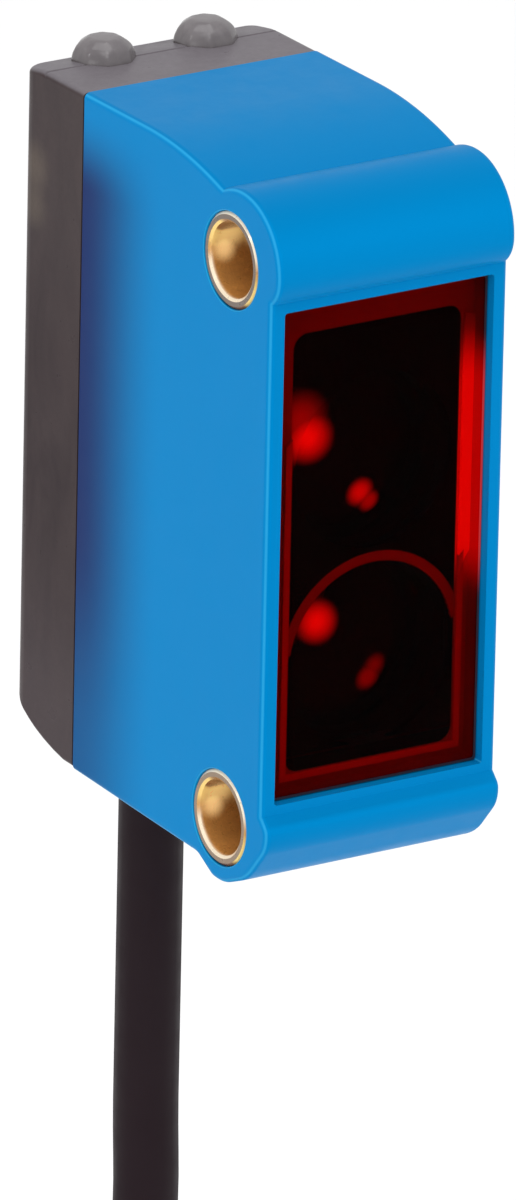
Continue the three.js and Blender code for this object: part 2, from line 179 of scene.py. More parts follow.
# ------------------------------------------------------------------ solids
def piece(name, bm):
    """A new object from a bmesh, with its faces turned outwards."""
    bmesh.ops.remove_doubles(bm, verts=bm.verts, dist=1e-5)
    bmesh.ops.recalc_face_normals(bm, faces=bm.faces)
    mesh = bpy.data.meshes.new(name)
    bm.to_mesh(mesh)
    bm.free()
    obj = bpy.data.objects.new(name, mesh)
    bpy.context.collection.objects.link(obj)
    return obj


def bridge_rings(bm, rings, caps=True):
    """Joins rings of equal length into a tube, closed at both ends if caps is set."""
    made = [[bm.verts.new(p) for p in ring] for ring in rings]
    count = len(made[0])
    for lower, upper in zip(made, made[1:]):
        for i in range(count):
            bm.faces.new((lower[i], lower[(i + 1) % count], upper[(i + 1) % count], upper[i]))
    if caps:
        bm.faces.new(made[0])
        bm.faces.new(list(reversed(made[-1])))


def to_space(u, v, w, axis):
    """A point of an outline (u, v) at w along an axis."""
    return {"X": (w, u, v), "Y": (u, w, v), "Z": (u, v, w)}[axis]


def prism(name, outline, axis, start, end, fillet=(0.0, 0.0), steps=6, hold=0.12):
    """An outline carried along an axis, its edges rounded at the start and the end."""
    levels = []
    for place, radius, inward in ((start, fillet[0], 1), (end, fillet[1], -1)):
        side = [(place, hold + radius)] if radius > 0 else []
        for k in range(steps + 1 if radius > 0 else 1):
            angle = math.pi / 2 * k / steps
            side.append((place + inward * radius * (1 - math.cos(angle)), radius * (1 - math.sin(angle))))
        levels += side if inward > 0 else list(reversed(side))
    bm = bmesh.new()
    bridge_rings(bm, [[to_space(u, v, w, axis) for u, v in inset(outline, depth)] for w, depth in levels])
    return piece(name, bm)


def turned(name, profile, centre, axis="Z", segments=96):
    """A closed profile of (radius, height) turned about an axis through centre."""
    bm = bmesh.new()
    made = []
    for k in range(segments):
        angle = 2 * math.pi * k / segments
        ring = [Vector(to_space(r * math.cos(angle), r * math.sin(angle), h, axis)) for r, h in profile]
        made.append([bm.verts.new(point + Vector(centre)) for point in ring])
    count = len(profile)
    for k in range(segments):
        here, beside = made[k], made[(k + 1) % segments]
        for i in range(count):
            j = (i + 1) % count
            if profile[i][0] < 1e-6 and profile[j][0] < 1e-6:
                continue
            bm.faces.new((here[i], here[j], beside[j], beside[i]))
    bmesh.ops.remove_doubles(bm, verts=bm.verts, dist=1e-5)
    bmesh.ops.dissolve_degenerate(bm, edges=bm.edges, dist=1e-6)
    return piece(name, bm)


def apply_modifiers(obj):
    """Turns an object's modifiers into plain mesh."""
    evaluated = obj.evaluated_get(bpy.context.evaluated_depsgraph_get())
    fresh = bpy.data.meshes.new_from_object(evaluated)
    obj.modifiers.clear()
    old, obj.data = obj.data, fresh
    fresh.name = obj.name
    bpy.data.meshes.remove(old)
    return obj


def carve(target, *tools, operation="DIFFERENCE"):
    """Boolean of the target with each tool; the tools are used up."""
    for tool in tools:
        modifier = target.modifiers.new("carve", "BOOLEAN")
        modifier.solver, modifier.operation, modifier.object = "EXACT", operation, tool
        apply_modifiers(target)
        bpy.data.objects.remove(tool)
    return target


def slice_off(obj, point, normal):
    """Cuts off what lies beyond a plane, and closes the cut."""
    bm = bmesh.new()
    bm.from_mesh(obj.data)
    everything = bm.verts[:] + bm.edges[:] + bm.faces[:]
    cut = bmesh.ops.bisect_plane(bm, geom=everything, plane_co=point, plane_no=normal, clear_outer=True)
    edges = [e for e in cut["geom_cut"] if isinstance(e, bmesh.types.BMEdge)]
    bmesh.ops.edgeloop_fill(bm, edges=edges)
    bmesh.ops.recalc_face_normals(bm, faces=bm.faces)
    bm.to_mesh(obj.data)
    bm.free()
    return obj


def split_at(obj, point, normal):
    """Adds an edge loop where a plane crosses the object."""
    bm = bmesh.new()
    bm.from_mesh(obj.data)
    bmesh.ops.bisect_plane(bm, geom=bm.verts[:] + bm.edges[:] + bm.faces[:], plane_co=point, plane_no=normal)
    bm.to_mesh(obj.data)
    bm.free()
    return obj


def publish(obj, look, nodes=(), body="sensor", sharp=32):
    """Scales a finished shape to metres, gives it its material, shades it, parents it to its body and hides
    the CAD nodes it replaces.
    """
    obj.data.transform(Matrix.Scale(MM, 4))
    obj.data.materials.clear()
    obj.data.materials.append(look)
    obj.data.shade_smooth()
    obj.data.set_sharp_from_angle(angle=math.radians(sharp))
    normals = obj.modifiers.new("face_weighted", "WEIGHTED_NORMAL")
    normals.keep_sharp, normals.weight = True, 80
    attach(obj, body)
    if nodes:
        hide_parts(*nodes)
    return obj


# ------------------------------------------------------------------ materials
class Look:
    """A Principled material built up from procedural layers, in object coordinates."""

    def __init__(self, name, colour, roughness, **sockets):
        """Sockets are inputs of the Principled shader, with _ for each space in the name."""
        self.name = name
        self.material = bpy.data.materials.new(f"{name}_finish")
        self.material.use_nodes = True
        self.nodes, self.links = self.material.node_tree.nodes, self.material.node_tree.links
        self.shader = self.nodes["Principled BSDF"]
        self.colour = self._value(colour)
        self.shader.inputs["Base Color"].default_value = (*colour, 1)
        self.shader.inputs["Roughness"].default_value = roughness
        for socket, value in sockets.items():
            self.shader.inputs[socket.replace("_", " ")].default_value = value
        self.coordinates = self.nodes.new("ShaderNodeTexCoord").outputs["Object"]
        self.normal = None

    def _value(self, colour):
        """A constant colour as a node output."""
        node = self.nodes.new("ShaderNodeRGB")
        node.outputs[0].default_value = (*colour, 1)
        return node.outputs[0]

    def noise(self, size, detail=3.0, roughness=0.5, stretch=(1, 1, 1), distortion=0.0):
        """Noise whose blotches are about size millimetres across."""
        mapping = self.nodes.new("ShaderNodeMapping")
        mapping.inputs["Scale"].default_value = stretch
        self.links.new(self.coordinates, mapping.inputs["Vector"])
        node = self.nodes.new("ShaderNodeTexNoise")
        node.inputs["Scale"].default_value = 1 / (size * MM)
        node.inputs["Detail"].default_value = detail
        node.inputs["Roughness"].default_value = roughness
        node.inputs["Distortion"].default_value = distortion
        self.links.new(mapping.outputs["Vector"], node.inputs["Vector"])
        return node.outputs["Fac"]

    def along(self, axis, start, end):
        """0 at start and 1 at end along an axis, smooth between, in millimetres."""
        split = self.nodes.new("ShaderNodeSeparateXYZ")
        self.links.new(self.coordinates, split.inputs[0])
        return self.remap(split.outputs[axis], start * MM, end * MM, 0, 1, smooth=True)

    def facing(self, axis, start, end):
        """0 where the surface faces away from an axis and 1 where it faces along it."""
        split = self.nodes.new("ShaderNodeSeparateXYZ")
        self.links.new(self.nodes.new("ShaderNodeNewGeometry").outputs["Normal"], split.inputs[0])
        return self.remap(split.outputs[axis], start, end, 0, 1, smooth=True)

    def edges(self, axis, start, end):
        """1 where a rounding turns between the faces across an axis and those along it.

        start and end bound the size of the normal's part along the axis. With an end
        above 1 the faces across the axis count too.
        """
        split = self.nodes.new("ShaderNodeSeparateXYZ")
        self.links.new(self.nodes.new("ShaderNodeNewGeometry").outputs["Normal"], split.inputs[0])
        size = self.nodes.new("ShaderNodeMath")
        size.operation = "ABSOLUTE"
        self.links.new(split.outputs[axis], size.inputs[0])
        return self.multiply(self.remap(size.outputs[0], start, start + 0.25, 0, 1, smooth=True),
                             self.remap(size.outputs[0], end - 0.15, end, 1, 0, smooth=True))

    def radial(self, centre, inner, outer):
        """1 within inner millimetres of a point and 0 beyond outer, smooth between."""
        distance = self.nodes.new("ShaderNodeVectorMath")
        distance.operation = "DISTANCE"
        distance.inputs[1].default_value = Vector(centre) * MM
        self.links.new(self.coordinates, distance.inputs[0])
        return self.remap(distance.outputs["Value"], inner * MM, outer * MM, 1, 0, smooth=True)

    def remap(self, factor, low, high, to_low, to_high, smooth=False):
        """Carries low..high over to to_low..to_high, clamped, in a line or smoothly."""
        node = self.nodes.new("ShaderNodeMapRange")
        node.interpolation_type = "SMOOTHSTEP" if smooth else "LINEAR"
        limits = {"From Min": low, "From Max": high, "To Min": to_low, "To Max": to_high}
        for socket, value in limits.items():
            node.inputs[socket].default_value = value
        self.links.new(factor, node.inputs["Value"])
        return node.outputs["Result"]

    def multiply(self, a, b):
        """Product of two factors, each a node output or a number."""
        node = self.nodes.new("ShaderNodeMath")
        node.operation = "MULTIPLY"
        for value, socket in ((a, node.inputs[0]), (b, node.inputs[1])):
            if isinstance(value, (int, float)):
                socket.default_value = value
            else:
                self.links.new(value, socket)
        return node.outputs[0]

    def tint(self, factor, other, strength=1.0):
        """Moves the colour towards another where the factor is high."""
        node = self.nodes.new("ShaderNodeMix")
        node.data_type = "RGBA"
        self.links.new(self.multiply(factor, strength), node.inputs["Factor"])
        self.links.new(self.colour, node.inputs[6])
        self.links.new(self._value(other), node.inputs[7])
        self.colour = node.outputs[2]
        self.links.new(self.colour, self.shader.inputs["Base Color"])
        return self

    def glow(self, spots, colour, strength):
        """Painted light of its own, as emission: spots are (centre, inner, outer, share), in millimetres."""
        total = None
        for centre, inner, outer, share in spots:
            spot = self.multiply(self.radial(centre, inner, outer), share)
            if total is not None:
                node = self.nodes.new("ShaderNodeMath")
                node.operation = "MAXIMUM"
                self.links.new(total, node.inputs[0])
                self.links.new(spot, node.inputs[1])
                spot = node.outputs[0]
            total = spot
        node = self.nodes.new("ShaderNodeMix")
        node.data_type = "RGBA"
        node.inputs[6].default_value = (0, 0, 0, 1)
        node.inputs[7].default_value = (*colour, 1)
        self.links.new(total, node.inputs["Factor"])
        self.links.new(node.outputs[2], self.shader.inputs["Emission Color"])
        self.shader.inputs["Emission Strength"].default_value = strength
        return self

    def vary_roughness(self, factor, low, high):
        """Roughness runs from low to high over the middle of the factor's range."""
        self.links.new(self.remap(factor, 0.3, 0.7, low, high), self.shader.inputs["Roughness"])
        return self

    def bump(self, factor, height, strength=1.0):
        """Relief of about height millimetres."""
        node = self.nodes.new("ShaderNodeBump")
        node.inputs["Strength"].default_value = strength
        node.inputs["Distance"].default_value = height * MM
        self.links.new(factor, node.inputs["Height"])
        if self.normal is not None:
            self.links.new(self.normal, node.inputs["Normal"])
        self.normal = node.outputs["Normal"]
        self.links.new(self.normal, self.shader.inputs["Normal"])
        return self


def moulded(name, colour, shade, roughness, grain=0.12, relief=0.004, **sockets):
    """Moulded plastic: fine eroded grain, slight flow marks and uneven gloss."""
    look = Look(name, colour, roughness, **sockets)
    look.tint(look.noise(5.0, 4, 0.6, distortion=0.4), shade, 0.35)
    look.vary_roughness(look.noise(1.4, 5, 0.65), roughness - 0.06, roughness + 0.07)
    look.bump(look.noise(grain, 3, 0.6), relief, 0.5)
    return look


def make_lens_look(name, spots):
    """Clear polished lens with painted red glints at the given spots: emission that stands in for the lamps'
    reflections.
    """
    lens = Look(name, (0.6, 0.62, 0.63), 0.02, Transmission_Weight=1.0, IOR=1.06, Specular_IOR_Level=0.1)
    lens.vary_roughness(lens.noise(2.0, 2), 0.01, 0.04)
    if spots:
        lens.glow(spots, PAINTED_RED_GLINT, 0.9)
    return lens


def make_looks():
    """Every material by its record slot."""
    blue = moulded("blue_plastic", (0.0, 0.225, 0.55), (0.0, 0.21, 0.52), 0.36, Specular_IOR_Level=0.35,
                   Specular_Tint=(0.0, 0.5, 1.0, 1), IOR=1.17)
    # painted shade: the side faces turn dark blue towards the seam with the cover, below the top and less so
    # towards the bottom
    painted_seam_shade = blue.multiply(blue.along("Y", 5.2, 11.9), blue.along("Z", 16.1, 12.2))
    painted_seam_shade = blue.multiply(painted_seam_shade, blue.remap(blue.along("Z", -3, -14), 0, 1, 1, 0.65))
    blue.tint(blue.multiply(painted_seam_shade, blue.facing("Z", 0.6, 0.1)), (0.012, 0.03, 0.13), 1.0)
    # painted sheen and shade: faces that look up get a darker, greyer blue, for how the light falls on the
    # top
    blue.tint(blue.facing("Z", 0.3, 0.9), (0.0, 0.18, 0.44), 1.0)
    # painted highlight: the roundings along the side faces get a lighter cyan, for the light they catch
    blue.tint(blue.edges("X", 0.5, 0.96), (0.03, 0.36, 0.68), 0.7)
    blue.bump(blue.noise(7.0, 2), 0.03, 0.25)

    smoke = moulded("smoke_plastic", (0.016, 0.009, 0.013), (0.03, 0.02, 0.022), 0.32,
                    Specular_IOR_Level=0.07)
    smoke.tint(smoke.along("Z", 3, 13), (0.048, 0.038, 0.040), 0.75)
    smoke.tint(smoke.along("Z", -4, -13), (0.068, 0.054, 0.060), 0.8)
    smoke.tint(smoke.noise(3.2, 3, 0.55, stretch=(1, 1, 0.45), distortion=1.2), (0.13, 0.095, 0.09), 0.5)
    for patch_z, reach, strength in ((12.2, 1.6, 0.6), (10.4, 1.4, 0.5)):
        patch = smoke.radial((LEFT, 15.9, patch_z), 0.2, reach)
        smoke.tint(smoke.multiply(patch, smoke.facing("X", -0.6, -0.9)), (0.15, 0.12, 0.095), strength)
    # painted light: faces that look up are lighter, for the lamp light on the top of the cover
    smoke.tint(smoke.facing("Z", 0.3, 0.9), (0.187, 0.172, 0.19), 0.9)
    smoke.tint(smoke.noise(0.3, 5, 0.75), (0.02, 0.014, 0.018), 0.4)

    dome = moulded("dome_plastic", (0.11, 0.098, 0.105), (0.06, 0.05, 0.055), 0.2, Specular_IOR_Level=0.4)
    dome.tint(dome.noise(1.1, 3, 0.6, distortion=0.8), (0.27, 0.25, 0.255), 0.6)
    # painted shade: the dome's sides and underside are darker, a shadow line round its foot
    dome.tint(dome.facing("Z", 0.25, -0.1), (0.045, 0.032, 0.03), 0.85)

    red = Look("red_window", (0.85, 0.0, 0.0), 0.02, Transmission_Weight=1.0, IOR=1.05,
               Specular_IOR_Level=0.0)
    red.vary_roughness(red.noise(2.0, 3), 0.015, 0.05)
    red.bump(red.noise(4.0, 2), 0.004, 0.1)

    brass = Look("brass", (1.0, 0.70, 0.22), 0.26, Metallic=0.25)
    # painted shade: faces that look level or up, such as the lower half of each bore, turn a darker
    # orange-brown
    brass.tint(brass.facing("Z", -0.22, 0.05), (0.58, 0.22, 0.04), 0.75)
    specks = brass.multiply(brass.noise(0.13, 3, 0.8), brass.facing("Z", -0.5, 0.1))
    brass.tint(specks, (0.24, 0.07, 0.02), 0.8)
    # painted shade: faces that look down, the top of each bore, turn dark brown
    brass.tint(brass.facing("Z", -0.52, -0.62), (0.22, 0.07, 0.03), 0.9)
    ends = brass.edges("X", 0.8, 9)
    brass.tint(ends, (0.20, 0.17, 0.14), 0.9)
    # painted shade: the end faces of the upper sleeve are darker than those of the lower one
    brass.tint(brass.multiply(ends, brass.along("Z", -6, 6)), (0.13, 0.11, 0.10), 0.8)
    # painted highlight: a pale gold crescent on the rounded mouths where they look up
    lit_edge = brass.multiply(brass.edges("X", 0.15, 0.9), brass.facing("Z", -0.05, 0.3))
    brass.tint(lit_edge, (1.0, 0.90, 0.70), 0.85)
    # painted light: emission spots make a golden band along each bore above its middle and a glint just
    # inside its mouth
    band = [((LEFT + depth, BORE_R, side * HOLE_Z + 0.6), 0.2, 1.1, 0.55)
            for side in (1, -1) for depth in (0.9, 2.4, 3.9, 5.4)]
    glints = [((LEFT + 0.7, BORE_R, side * HOLE_Z), 0.1, 0.8, 1.0) for side in (1, -1)]
    brass.glow(band + glints, (1.0, 0.66, 0.28), 0.6)
    brass.vary_roughness(brass.noise(0.5, 3), 0.22, 0.4)
    brass.bump(brass.noise(0.12, 2), 0.006, 0.5)

    rubber = moulded("rubber", (0.018, 0.018, 0.020), (0.03, 0.03, 0.03), 0.75, 0.08, 0.006)
    silicone = moulded("grey_silicone", (0.12, 0.11, 0.11), (0.10, 0.095, 0.095), 0.7, 0.2, 0.004)
    silicone.tint(silicone.along("Y", -2.65, -2.8), (0.01, 0.006, 0.02), 1.0)
    # painted light: the gasket's right-hand part glows red, a pool of the red light inside the window
    silicone.glow([((WINDOW_HIGH.x, WINDOW_LOW.y + 0.4, 2.4), 3.6, 6.2, 1.0)], (1.0, 0.03, 0.02), 0.42)
    lip = moulded("chamber_lip", (0.24, 0.22, 0.22), (0.2, 0.19, 0.19), 0.6, 0.2, 0.004)
    chamber = moulded("chamber_wall", (0.58, 0.56, 0.56), (0.5, 0.48, 0.48), 0.6, 0.2, 0.004)
    # The wall is darker towards its top end. Painted light: it also glows red, a pool of the red light
    # inside the window.
    chamber.tint(chamber.along("Z", 6.5, 8.8), (0.14, 0.13, 0.13), 1.0)
    chamber.glow([((-1.0, PLATE_BACK, 2.4), 3.4, 6.8, 1.0)], (1.0, 0.05, 0.03), 0.42)
    aperture = moulded("aperture_plate", (0.001, 0.001, 0.001), (0.002, 0.002, 0.002), 0.6,
                       Specular_IOR_Level=0.0)
    # painted reflections: red emission spots on the black plate stand in for the lamps' reflections seen
    # through the red window
    spots = [((-9.1, PLATE_FRONT, 4.65), 0.1, 1.35, 1.0), ((-9.5, PLATE_FRONT, 5.6), 0.1, 1.6, 0.32)]
    aperture.glow(spots, PAINTED_RED_GLINT, 0.9)
    collar = moulded("receiver_collar", (0.14, 0.13, 0.13), (0.1, 0.1, 0.1), 0.5, Specular_IOR_Level=0.1)
    black = moulded("black_plastic", (0.012, 0.011, 0.011), (0.022, 0.02, 0.02), 0.5)
    lens = make_lens_look("clear_lens", ())
    # painted reflections: red emission spots on both lenses stand in for the lamps' reflections in them
    emitter = make_lens_look("emitter_lens", (
        ((-8.35, -0.6, 4.3), 0.1, 1.35, 1.0), ((-8.8, -0.6, 5.2), 0.1, 1.6, 0.32),
        ((-5.75, -0.9, 1.4), 0.1, 0.8, 0.7), ((-5.2, -0.9, 0.85), 0.2, 0.65, 0.35)))
    receiver = make_lens_look("receiver_lens", (
        ((-7.75, -0.7, -4.2), 0.1, 1.15, 0.95), ((-7.65, -0.7, -3.85), 0.02, 0.1, 4.0),
        ((-5.1, -0.9, -7.2), 0.2, 0.75, 0.2), ((-4.8, -0.9, -6.7), 0.1, 0.7, 0.16)))
    board = moulded("circuit_board", (0.012, 0.09, 0.045), (0.02, 0.13, 0.06), 0.38, 0.2, 0.01)
    epoxy = moulded("chip_epoxy", (0.014, 0.014, 0.016), (0.022, 0.022, 0.024), 0.55, 0.06, 0.004)
    tin = Look("tinned_steel", (0.62, 0.62, 0.60), 0.28, Metallic=1.0)
    tin.tint(tin.noise(0.8, 4), (0.40, 0.39, 0.38), 0.5)
    tin.vary_roughness(tin.noise(0.4, 4), 0.2, 0.42)
    tin.bump(tin.noise(0.3, 3), 0.006, 0.3)
    capacitor = moulded("capacitor_case", (0.55, 0.28, 0.05), (0.42, 0.2, 0.04), 0.4)
    white = moulded("white_plastic", (0.66, 0.64, 0.58), (0.58, 0.55, 0.49), 0.42)
    green = moulded("led_green", (0.10, 0.50, 0.12), (0.06, 0.4, 0.08), 0.2)
    yellow = moulded("led_yellow", (0.80, 0.52, 0.04), (0.7, 0.42, 0.03), 0.2)

    sheath = moulded("cable_sheath", (0.012, 0.005, 0.008), (0.022, 0.012, 0.015), 0.5, 0.25, 0.012,
                     Specular_IOR_Level=0.12)
    sheath.bump(sheath.noise(1.1, 2, stretch=(1, 1, 0.12)), 0.03, 0.3)
    tie = moulded("tie_plastic", (0.02, 0.02, 0.02), (0.035, 0.035, 0.035), 0.45)
    core_colours = {"brown": (0.12, 0.035, 0.015), "white": (0.74, 0.73, 0.69),
                    "blue": (0.02, 0.09, 0.40), "black": (0.012, 0.012, 0.013)}
    looks = {look.name: look.material for look in (
        blue, smoke, dome, red, brass, rubber, silicone, lip, chamber, aperture, collar, black, lens,
        emitter, receiver, board, epoxy, tin, capacitor, white, green, yellow, sheath, tie)}
    for colour, value in core_colours.items():
        darker = tuple(0.7 * v for v in value)
        looks[f"core_{colour}"] = moulded(f"core_{colour}", value, darker, 0.4, 0.1, 0.004).material
    return looks


def dress_cad_nodes(looks):
    """Gives every carried-over CAD node the material of its slot."""
    for part in frame["record"]["subparts"]:
        mesh = frame["nodes"][part["node"]].data
        mesh.materials.clear()
        mesh.materials.append(looks[part["material_slot"]])


# ------------------------------------------------------------------ camera, floor and light
def make_camera():
    """Looks from the front left and above, as the reference view does."""
    azimuth, elevation, roll = (math.radians(v) for v in (-32.725, 20.344, 1.232))
    target, distance = Vector((-6.0, 6.588, -5.922)) * MM, 753.69 * MM
    back = Vector((math.sin(azimuth) * math.cos(elevation), -math.cos(azimuth) * math.cos(elevation),
                   math.sin(elevation)))
    data = bpy.data.cameras.new("camera")
    data.lens, data.sensor_width = 521.32, 36
    data.clip_start, data.clip_end = 0.05, 20
    camera = bpy.data.objects.new("camera", data)
    bpy.context.collection.objects.link(camera)
    camera.rotation_mode = "QUATERNION"
    camera.location = target + back * distance
    camera.rotation_quaternion = (-back).to_track_quat("-Z", "Y") @ Quaternion((0, 0, 1), roll)
    bpy.context.scene.camera = camera


def make_floor():
    """White floor just under the lowest point of the object, in metres."""
    bm = bmesh.new()
    reach = 2.5
    gap = 0.0008
    z = cad_low.z - gap
    corners = rectangle(-reach, reach, -reach, reach)
    bm.faces.new([bm.verts.new((x, y, z)) for x, y in corners])
    floor = piece("floor", bm)
    paint = Look("floor_paint", (0.93, 0.93, 0.93), 0.9, Specular_IOR_Level=0.1)
    paint.tint(paint.noise(300, 2), (0.9, 0.9, 0.9), 0.3)
    floor.data.materials.append(paint.material)


def lamp(name, azimuth, elevation, distance, width, height, power):
    """A soft area lamp aimed at the body; azimuth 0 is in front of the window, 90 on the +X side."""
    a, e = math.radians(azimuth), math.radians(elevation)
    away = Vector((math.sin(a) * math.cos(e), -math.cos(a) * math.cos(e), math.sin(e)))
    data = bpy.data.lights.new(name, "AREA")
    data.shape, data.size, data.size_y, data.energy = "RECTANGLE", width, height, power
    light = bpy.data.objects.new(name, data)
    light.location = Vector((MID_X, 5, 0)) * MM + away * distance
    light.rotation_mode = "QUATERNION"
    light.rotation_quaternion = (-away).to_track_quat("-Z", "Y")
    bpy.context.collection.objects.link(light)


def make_light():
    """Even white surroundings and four soft lamps."""
    world = bpy.data.worlds.new("studio")
    world.use_nodes = True
    world.node_tree.nodes["Background"].inputs["Color"].default_value = (1, 1, 1, 1)
    world.node_tree.nodes["Background"].inputs["Strength"].default_value = 0.75
    bpy.context.scene.world = world
    bpy.context.scene.view_settings.view_transform = "Standard"
    lamp("key", -35, 50, 0.9, 0.5, 0.5, 1.9)
    lamp("left", -64, 2, 0.9, 0.12, 0.6, 0.5)
    lamp("top", 10, 85, 1.0, 0.8, 0.8, 4.1)
    lamp("glint", -80, 35, 0.9, 0.1, 0.1, 0.4)


# ------------------------------------------------------------------ the free cable
def coil_point(turns):
    """A point of the coil after some turns: three layers of six columns, wound from the outside in."""
    lead_r, layers, pitch = 24.0, (21.0, 18.0, 15.0), 3.0
    first_x, columns = COIL_CENTRE.x - 2.5 * pitch, 6
    radius = lead_r + (layers[0] - lead_r) * smooth_step(turns, 0.3, 0.45)
    radius += (layers[1] - layers[0]) * smooth_step(turns, 5.6, 5.8)
    radius += (layers[2] - layers[1]) * smooth_step(turns, 11.1, 11.3)
    x = COIL_CENTRE.x + (first_x - COIL_CENTRE.x) * smooth_step(turns, 0, 0.3)
    for k in range(columns - 1):
        x += pitch * smooth_step(turns, 0.85 + k, 1.05 + k)
        x -= pitch * smooth_step(turns, 6.35 + k, 6.55 + k)
        x += pitch * smooth_step(turns, 11.85 + k, 12.05 + k)
    last_x = first_x + (columns - 1) * pitch
    x += (TAIL_END.x - last_x) * smooth_step(turns, 17.12, 17.25)
    angle = math.pi / 2 - 2 * math.pi * turns
    return Vector((x, COIL_CENTRE.y + radius * math.cos(angle), COIL_CENTRE.z + radius * math.sin(angle)))


def cable_points():
    """The cable's centre line: down from the cover, round the coil and out to the bared end."""
    per_turn, total = 24, 17.25
    steps = round(total * per_turn)
    coil = [coil_point(total * k / steps) for k in range(1, steps + 1)]
    return [Vector(p) for p in CABLE_ROUTE] + coil + [TAIL_END]


def make_cable(looks):
    """The whole cable as one round curve, which also stands for the coil."""
    data = bpy.data.curves.new("cable_run", "CURVE")
    data.dimensions = "3D"
    data.bevel_depth, data.bevel_resolution = CABLE_D / 2 * MM, 6
    data.resolution_u, data.use_fill_caps = 5, True
    points = cable_points()
    spline = data.splines.new("BEZIER")
    spline.bezier_points.add(len(points) - 1)
    for handle, point in zip(spline.bezier_points, points):
        handle.co = point * MM
        handle.handle_left_type = handle.handle_right_type = "AUTO"
    data.materials.append(looks["cable_sheath"])
    cable = bpy.data.objects.new("cable_run", data)
    bpy.context.collection.objects.link(cable)
    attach(cable, "sensor")
    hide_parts("cable", "cable_coil")
    return cable


# ------------------------------------------------------------------ housing
def housing_outline():
    """Side view in Y and Z: flat top, falling shoulder, upper boss, lower nose, slightly sloping bottom."""
    run = SHOULDER_Y - CREASE_Y
    boss_start = math.degrees(math.acos((CREASE_Y - BOSS_Y) / BOSS_R))
    crease_z = BOSS_Z + BOSS_R * math.sin(math.radians(boss_start))
    drop = TOP_Z - crease_z
    shoulder_r = (run ** 2 + drop ** 2) / (2 * drop)
    fall = math.degrees(math.asin(run / shoulder_r))
    blend_y = BOSS_Y - BOSS_R + BOSS_BLEND_R
    blend_end = 180 - math.degrees(math.asin((BOSS_Z - RIM_Z) / BOSS_BLEND_R))
    outline = [(SEAM_Y + 2, TOP_Z)]
    outline += arc((SHOULDER_Y, TOP_Z - shoulder_r), shoulder_r, 90, 90 + fall, 24)[:-1]
    outline += arc((BOSS_Y, BOSS_Z), BOSS_R, boss_start, 180, 40)
    outline += arc((blend_y, BOSS_Z), BOSS_BLEND_R, 180, 360 - blend_end, 8)[1:]
    outline += [(RIM_Y, RIM_Z - 0.1), (RIM_Y, -RIM_Z + 0.15)]
    slope = (SEAM_BOTTOM_Z - BOTTOM_Z) / (SEAM_Y - BOTTOM_Y)
    corners = [(y, z, 0) for y, z in outline] + NOSE
    corners += [(BOTTOM_Y, BOTTOM_Z, 0.8), (SEAM_Y + 2, SEAM_BOTTOM_Z + 2 * slope, 0)]
    return soft_outline(corners, steps=12)


def bore_tool(name, z):
    """Cuts the seat of a sleeve, with softened mouths on both side faces."""
    seat, flare = SLEEVE_R + 0.02, 0.1
    mouth = [(seat + flare * (1 - math.sin(a)), flare * (1 - math.cos(a)))
             for a in (math.radians(v) for v in (20, 40, 60, 75, 90))]
    low = [(r, LEFT + d) for r, d in mouth]
    high = [(r, RIGHT - d) for r, d in reversed(mouth)]
    outer = mouth[0][0] + 0.35
    profile = [(0, LEFT - 1), (outer, LEFT - 1), *low, *high, (outer, RIGHT + 1), (0, RIGHT + 1)]
    return turned(name, profile, (0, 0, z), "X")


def make_housing(looks):
    """Blue front shell: hollow from behind, with walls left round the sleeves and a window pocket."""
    room_front, room_bottom, room_top = 2.1, -13.4, 14.3
    deep_front, deep_bottom, deep_top = 6, 14.0, 15.6
    optics_front, optics_back, optics_reach = -2.4, 2.2, 9.8
    side_walls = (LEFT + WALL, RIGHT - WALL)
    shell = prism("housing_shell", housing_outline(), "X", LEFT, RIGHT, (EDGE_R, EDGE_R), steps=6, hold=0.06)
    slice_off(shell, (0, SEAM_Y, 0), (0, 1, 0))
    cavity = prism("cavity", rectangle(*side_walls, room_front, SEAM_Y + 1, 0), "Z", room_bottom, room_top)
    deep = prism("deep_cavity", rectangle(*side_walls, deep_front, SEAM_Y + 1, 0), "Z",
                 deep_bottom, deep_top)
    optics = prism("optics_room", rectangle(*side_walls, optics_front, optics_back, 0), "Z",
                   -optics_reach, optics_reach)
    carve(cavity, deep, optics, operation="UNION")
    wall_r = SLEEVE_R + 0.6
    for z in (HOLE_Z, -HOLE_Z):
        section = [(0, LEFT), (wall_r, LEFT), (wall_r, RIGHT), (0, RIGHT)]
        carve(cavity, turned("sleeve_wall", section, (0, 0, z), "X"))
    pocket_outline = rectangle(WINDOW_LOW.x - PLAY, WINDOW_HIGH.x + PLAY,
                               WINDOW_LOW.z - PLAY, WINDOW_HIGH.z + PLAY, 0.15)
    pocket = prism("window_pocket", pocket_outline, "Y", RIM_Y - 1, SEAL_HIGH.y + PLAY)
    carve(shell, cavity, pocket, bore_tool("bore", HOLE_Z), bore_tool("bore", -HOLE_Z))
    return publish(shell, looks["blue_plastic"], ["housing"])


def make_sleeves(looks):
    """Brass spacers with flared mouths and plain bores."""
    edge = 0.12
    low, high = LEFT + 0.01, RIGHT - 0.01
    flare = 0.2
    profile = [(BORE_R + flare, low), (SLEEVE_R - edge, low), (SLEEVE_R, low + edge),
               (SLEEVE_R, high - edge), (SLEEVE_R - edge, high), (BORE_R + flare, high),
               (BORE_R + 0.08, high - 0.1), (BORE_R, high - 0.35), (BORE_R, low + 0.35),
               (BORE_R + 0.08, low + 0.1)]
    for node, z in (("sleeve_upper", HOLE_Z), ("sleeve_lower", -HOLE_Z)):
        sleeve = turned(f"{node}_turned", profile, (0, 0, z), "X")
        publish(sleeve, looks["brass"], [node])


